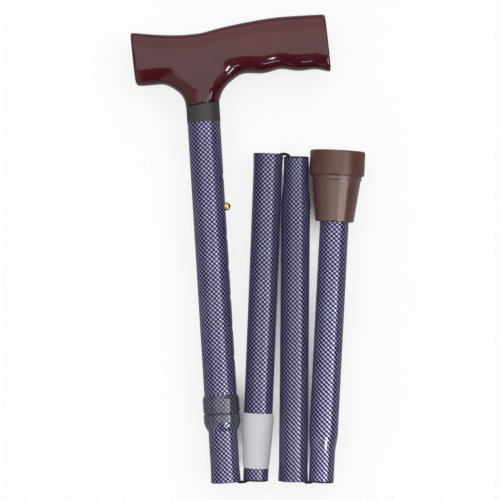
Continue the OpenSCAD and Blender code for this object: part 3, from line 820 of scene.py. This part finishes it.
def unwrap_braid(mesh, far, pitch):
    """Strands counted round the cord, and repeats of the braid along it."""
    strands = 4
    uv = mesh.uv_layers.new(name="braid")
    for polygon in mesh.polygons:
        for turn, loop in enumerate(polygon.loop_indices):
            ring, k = divmod(mesh.loops[loop].vertex_index, CORD_SIDES)
            closing = k == 0 and len(polygon.vertices) == 4 and turn in (1, 2)
            uv.data[loop].uv = (strands * (1 if closing else k / CORD_SIDES), far[ring] / pitch)


def cord_stretch(node, look):
    """One stretch of cord, pressed where it turns over the rims and knotted where its route says."""
    step, fewest = 0.7 * MM, 8
    radius = (look.bend_width if node in BEND_BODIES else look.cord_width) / 2
    corners = np.array(cord_route(node))
    runs = np.linalg.norm(np.diff(corners, axis=0), axis=1)
    marks = np.concatenate(([0], np.cumsum(runs)))
    far = np.linspace(0, marks[-1], max(fewest, round(marks[-1] / step)))
    points = np.stack([np.interp(far, marks, corners[:, k]) for k in range(3)], axis=1)
    for _ in range(2):
        points[1:-1] = (points[:-2] + 2 * points[1:-1] + points[2:]) / 4
    way = np.gradient(points, axis=0)
    way = way / np.linalg.norm(way, axis=1, keepdims=True)
    across = np.cross(way, (0, 0, 1))
    widths = np.full(len(points), radius)
    pressed = np.ones(len(points))
    if node in BEND_BODIES:
        over = np.clip(np.minimum(far - marks[1], marks[-2] - far) / radius, 0, 1)
        pressed = 1 - (1 - look.bend_press) * over
        outward = (corners[1] - corners[0]) / runs[0]
        points = points - np.outer(radius * (1 - pressed) + look.bend_sink * over, outward)
    if len(corners) == 4:
        share = np.clip((far - marks[2]) / (marks[3] - marks[2]), 0, 1)
        widths = radius + (look.knot_width / 2 - radius) * np.sqrt(np.sin(math.pi * share).clip(0))
    mesh = cord_skin("braided_" + node, points, across, widths, pressed)
    unwrap_braid(mesh, far, look.braid_pitch)
    piece = added(mesh.name, mesh)
    edit_all(piece)
    bpy.ops.mesh.normals_make_consistent(inside=False)
    bpy.ops.object.mode_set(mode="OBJECT")
    bpy.ops.object.shade_smooth_by_angle(angle=math.radians(60))
    return piece


def draw_in(piece, node):
    """Gives a stretch of cord that has a seat its own copy of its mesh."""
    if node in CORD_SEATS:
        route = cord_route(node)
        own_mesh(piece)


class CANE_OT_cords(bpy.types.Operator):
    """Braids the elastic cord that runs through the sections and turns over their rims"""
    bl_idname = "cane.cords"
    bl_label = "Elastic cord"

    def execute(self, context):
        look = context.scene.cane_trim
        braid = braid_finish(look)
        for node, body in CORD_BODIES.items():
            piece = cord_stretch(node, look)
            dress(piece, "cord", braid, node)
            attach(piece, body)
            draw_in(piece, node)
        for node, (held, turned) in BEND_BODIES.items():
            piece = cord_stretch(node, look)
            dress(piece, "cord", braid, node)
            _, start, *_, end, _ = cord_route(node)
            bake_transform(piece)
        return {"FINISHED"}


def lap_paper(piece):
    """The strip where the paper overlaps itself, at the left of the tube."""
    lift = 1.02
    low, high = math.radians(6), math.radians(32)
    edit_all(piece)
    pick_vertices(piece, lambda co: low < math.atan2(-co.y, -co.x) < high)
    bpy.ops.mesh.duplicate()
    bpy.ops.transform.resize(value=(lift, lift, 1), center_override=(0, 0, 0))
    bpy.ops.object.mode_set(mode="OBJECT")


def round_corners(piece, drop):
    """Draws the paper's two edges in where it turns round the tube's sides."""
    front, fade = 0.95, 0.6
    heights = [vertex.co.z for vertex in piece.data.vertices]
    middle = (min(heights) + max(heights)) / 2
    reach = max(heights) - middle
    for vertex in piece.data.vertices:
        lean = math.atan2(abs(vertex.co.x), -vertex.co.y)
        turned = min(1, max(0, (lean - front) / fade))
        share = turned * turned * (3 - 2 * turned)
        vertex.co.z -= (vertex.co.z - middle) / reach * drop * share


class CANE_OT_label(bpy.types.Operator):
    """Wraps the blank paper label round the second section's shoulder"""
    bl_idname = "cane.label"
    bl_label = "Label"

    def execute(self, context):
        look = context.scene.cane_trim
        fold, crease_width = 3 * MM, 14 * MM
        axis = Axis("tube_2")
        _, inner = axis.outline("label_sleeve")
        piece = spun("paper_label", inner, [0, fold, 0], steps=120, cuts=7)
        lap_paper(piece)
        round_corners(piece, look.paper_round)
        creases = bpy.data.textures.new("label creases", "CLOUDS")
        creases.noise_scale = crease_width
        apply_modifier(
            piece, "DISPLACE", texture=creases, texture_coords="LOCAL", mid_level=0,
            strength=look.paper_crease,
        )
        apply_modifier(piece, "SOLIDIFY", thickness=look.paper_thick, offset=1)
        place(piece, axis.matrix, 50)
        dress(piece, "label", paper_finish(look), "label_sleeve")
        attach(piece, "section_2")
        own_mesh(piece)
        return {"FINISHED"}


class CANE_OT_tip(bpy.types.Operator):
    """Turns the rubber tip with soft edges, its bead and the rings in its sole"""
    bl_idname = "cane.tip"
    bl_label = "Rubber tip"

    def execute(self, context):
        look = context.scene.cane_tip
        axis = Axis("tube_4")
        outer, inner = axis.outline("rubber_tip")
        foot = max(r for r, _ in outer)
        bore = inner[0][0]
        low, sole = outer[0][1], outer[-1][1]
        ledge = sole - look.foot_height
        skirt, groove = look.skirt_radius, look.groove
        fine = look.edge / 3
        corners = [(0, sole, 0)]
        for k in range(look.rings):
            middle = (foot - look.edge) * (k + 1) / (look.rings + 1)
            near, far = middle - look.ring_width / 2, middle + look.ring_width / 2
            floor = sole - look.ring_depth
            corners += [(near, sole, fine), (near, floor, fine), (far, floor, fine), (far, sole, fine)]
        corners += [
            (foot, sole, look.edge), (foot, ledge, look.edge), (skirt + groove / 2, ledge, fine / 2),
            (skirt, ledge - groove, fine / 2), (skirt, ledge - look.bead, fine),
            (skirt - groove, ledge - look.bead - groove, fine), (look.rim_radius, low, look.edge),
            (bore, low, fine), (bore, sole - look.sole, fine), (0, sole - look.sole, 0),
        ]
        piece = spun("soft_tip", [c[:2] for c in corners], [c[2] for c in corners], steps=128)
        place(piece, axis.matrix)
        dress(piece, "tip", rubber_finish(look, axis, ledge), "rubber_tip")
        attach(piece, "section_4")
        return {"FINISHED"}


def lay_floor(look):
    """A wide pale floor that glows where it lies open. In the narrow gaps the glow is taken away,
    a painted shade over the floor's own shadow.
    """
    wide, cells, rays = 24, 8, 40
    closed_in, clear = 0.37, 0.44
    bpy.ops.mesh.primitive_grid_add(
        x_subdivisions=cells, y_subdivisions=cells, size=wide, location=(0, 0, -SAME)
    )
    floor = bpy.context.object
    floor.name = "floor"
    g = graph("pale floor")
    shade = [0.98 * c for c in look.floor]
    pale = g.mix(g.band(g.noise(3, 3), 0.3, 0.7), look.floor, shade)
    path = g.add("ShaderNodeLightPath").outputs
    seen = g.math("MAXIMUM", path["Is Camera Ray"], path["Is Glossy Ray"])
    seen = g.math("MAXIMUM", seen, path["Is Transmission Ray"])
    base = g.mix(path["Is Camera Ray"], [look.bounce * c for c in look.floor], pale)
    material = g.done(Base_Color=base, Roughness=0.9, Specular_IOR_Level=0.0)
    white = g.add("ShaderNodeEmission").outputs[0]
    lit = g.tree.nodes["Principled BSDF"].outputs[0]
    free = g.add("ShaderNodeAmbientOcclusion", {"Distance": look.shade_reach}, samples=rays).outputs["AO"]
    # Painted shade: the glow fades out where pieces close in round the floor, darkening the narrow gaps
    glow = g.math("MULTIPLY", g.band(free, closed_in, clear), look.floor_glow)
    direct = g.math("MULTIPLY_ADD", path["Is Camera Ray"], 1 - look.mirrored, look.mirrored)
    share = g.math("MULTIPLY", g.math("MULTIPLY", seen, glow), direct)
    both = g.add("ShaderNodeMixShader", {0: share, 1: lit, 2: white})
    g.feed(g.tree.nodes["Material Output"].inputs["Surface"], both.outputs[0])
    material.cycles.emission_sampling = "NONE"
    floor.data.materials.append(material)


def hang_window(name, rise, turn, size, tint, bright):
    """A small bright light that only shows as a glint, this many degrees up and to the right."""
    away = 1.7
    rise, turn = math.radians(rise), math.radians(turn)
    level = math.cos(rise)
    place_at = away * Vector((math.sin(turn) * level, -math.cos(turn) * level, math.sin(rise)))
    lamp = bpy.data.lights.new(name, "AREA")
    lamp.shape = "RECTANGLE"
    lamp.size, lamp.size_y = size
    lamp.color = tint
    lamp.energy = bright * math.pi * size[0] * size[1]
    light = added(name, lamp)
    light.visible_diffuse = False
    light.location = place_at
    light.rotation_euler = (-place_at).to_track_quat("-Z", "Y").to_euler()


def fill_sky(scene, look):
    """A broad soft light to the upper right, in a sky that is dark beyond the cane's feet."""
    # Where each part fades: radians from straight up, and in the last line parts of the sky's radius
    dawn, dusk = (-0.38, -0.24), (-0.55, -0.1)
    key_in, key_out, key_end = (0.4, 0.6), (0.75, 0.9), (0.5, 1.1)
    west_in, west_out = (-1.4, -0.3), (-0.3, 0)
    north_in, north_bright = (0.15, 0.5), 0.8
    north_sides, zenith = (0.25, 0.55), (0.6, 0.95)
    scene.world = bpy.data.worlds.new("studio")
    g = Graph(scene.world, "Generated")
    x, y, z = g.split(g.coords)
    right = g.math("ARCTAN2", x, z)
    ahead = g.math("ARCTAN2", y, z)
    day = g.band(ahead, *dawn)
    key = g.math("MULTIPLY", g.band(right, *key_in), g.band(right, *key_out, 1, 0))
    key = g.math("MULTIPLY", key, g.band(ahead, *key_end, look.key, 0))
    near = g.band(g.math("ABSOLUTE", x), *north_sides, 1, 0)
    north = g.math("MULTIPLY", g.band(ahead, *north_in, 0, north_bright), near)
    west = g.math("MULTIPLY", g.band(right, *west_in, 0, look.west), g.band(right, *west_out, 1, 0))
    high = g.math("MAXIMUM", g.band(z, *zenith, look.low_sky, 1), north)
    high = g.math("MAXIMUM", high, west)
    bright = g.math("MULTIPLY_ADD", high, look.fill, key)
    dim = g.band(right, *dusk, look.dusk, look.night)
    dim = g.math("MULTIPLY", dim, g.math("SUBTRACT", 1, day))
    background = g.tree.nodes["Background"].inputs
    g.feed(background["Strength"], g.math("MULTIPLY_ADD", bright, day, dim))
    g.feed(background["Color"], (1, 1, 1))


def set_camera(scene, look):
    """A long lens straight above the cane."""
    data = bpy.data.cameras.new("camera")
    data.lens = data.sensor_width * look.view_height / look.view_width
    camera = added("camera", data)
    level = Axis("tube_4").base.z
    camera.location = (look.view_x, look.view_y, level + look.view_height)
    scene.camera = camera


class CANE_OT_stage(bpy.types.Operator):
    """Lays the pale floor, hangs the lights and sets the camera over the cane"""
    bl_idname = "cane.stage"
    bl_label = "Studio"

    def execute(self, context):
        look = context.scene.cane_stage
        lay_floor(look)
        # Degrees up and to the right, width and height in metres, tint, brightness
        hang_window("warm window", 55, 42, (0.50, 0.26), (1, 0.94, 0.86), look.window)
        hang_window("cool window", 33, 40, (0.60, 0.24), (0.80, 0.86, 1), look.low_window)
        hang_window("groove window", 36, 20, (0.42, 0.14), (0.74, 0.80, 1), look.groove_window)
        hang_window("side window", 40, 78, (0.36, 0.14), (1, 0.87, 0.70), look.side_window)
        fill_sky(context.scene, look)
        set_camera(context.scene, look)
        context.scene.view_settings.view_transform = "Standard"
        return {"FINISHED"}


class CANE_PT_panel(bpy.types.Panel):
    """Lists the cane's pieces in the sidebar"""
    bl_idname = "CANE_PT_panel"
    bl_label = "Folding Cane"
    bl_space_type = "VIEW_3D"
    bl_region_type = "UI"
    bl_category = "Cane"

    def draw(self, context):
        for operator in OPERATORS:
            self.layout.operator(operator.bl_idname)
        for group in GROUPS:
            settings = getattr(context.scene, group)
            box = self.layout.box()
            for name in settings.__annotations__:
                box.prop(settings, name)


OPERATORS = (
    CANE_OT_handle, CANE_OT_tubes, CANE_OT_lock, CANE_OT_fittings,
    CANE_OT_cords, CANE_OT_label, CANE_OT_tip, CANE_OT_stage,
)
GROUPS = {
    "cane_handle": CaneHandleLook, "cane_print": CanePrintLook, "cane_lock": CaneLockLook,
    "cane_trim": CaneTrimLook, "cane_tip": CaneTipLook, "cane_stage": CaneStageLook,
}


def register():
    for cls in (*GROUPS.values(), *OPERATORS, CANE_PT_panel):
        bpy.utils.register_class(cls)
    for name, cls in GROUPS.items():
        setattr(bpy.types.Scene, name, PointerProperty(type=cls))


def unregister():
    for name in GROUPS:
        delattr(bpy.types.Scene, name)
    for cls in reversed((*GROUPS.values(), *OPERATORS, CANE_PT_panel)):
        bpy.utils.unregister_class(cls)


def main():
    """Builds the pieces and the studio."""
    register()
    for operator in OPERATORS:
        group, name = operator.bl_idname.split(".")
        getattr(getattr(bpy.ops, group), name)()


if __name__ == "__main__":
    main()
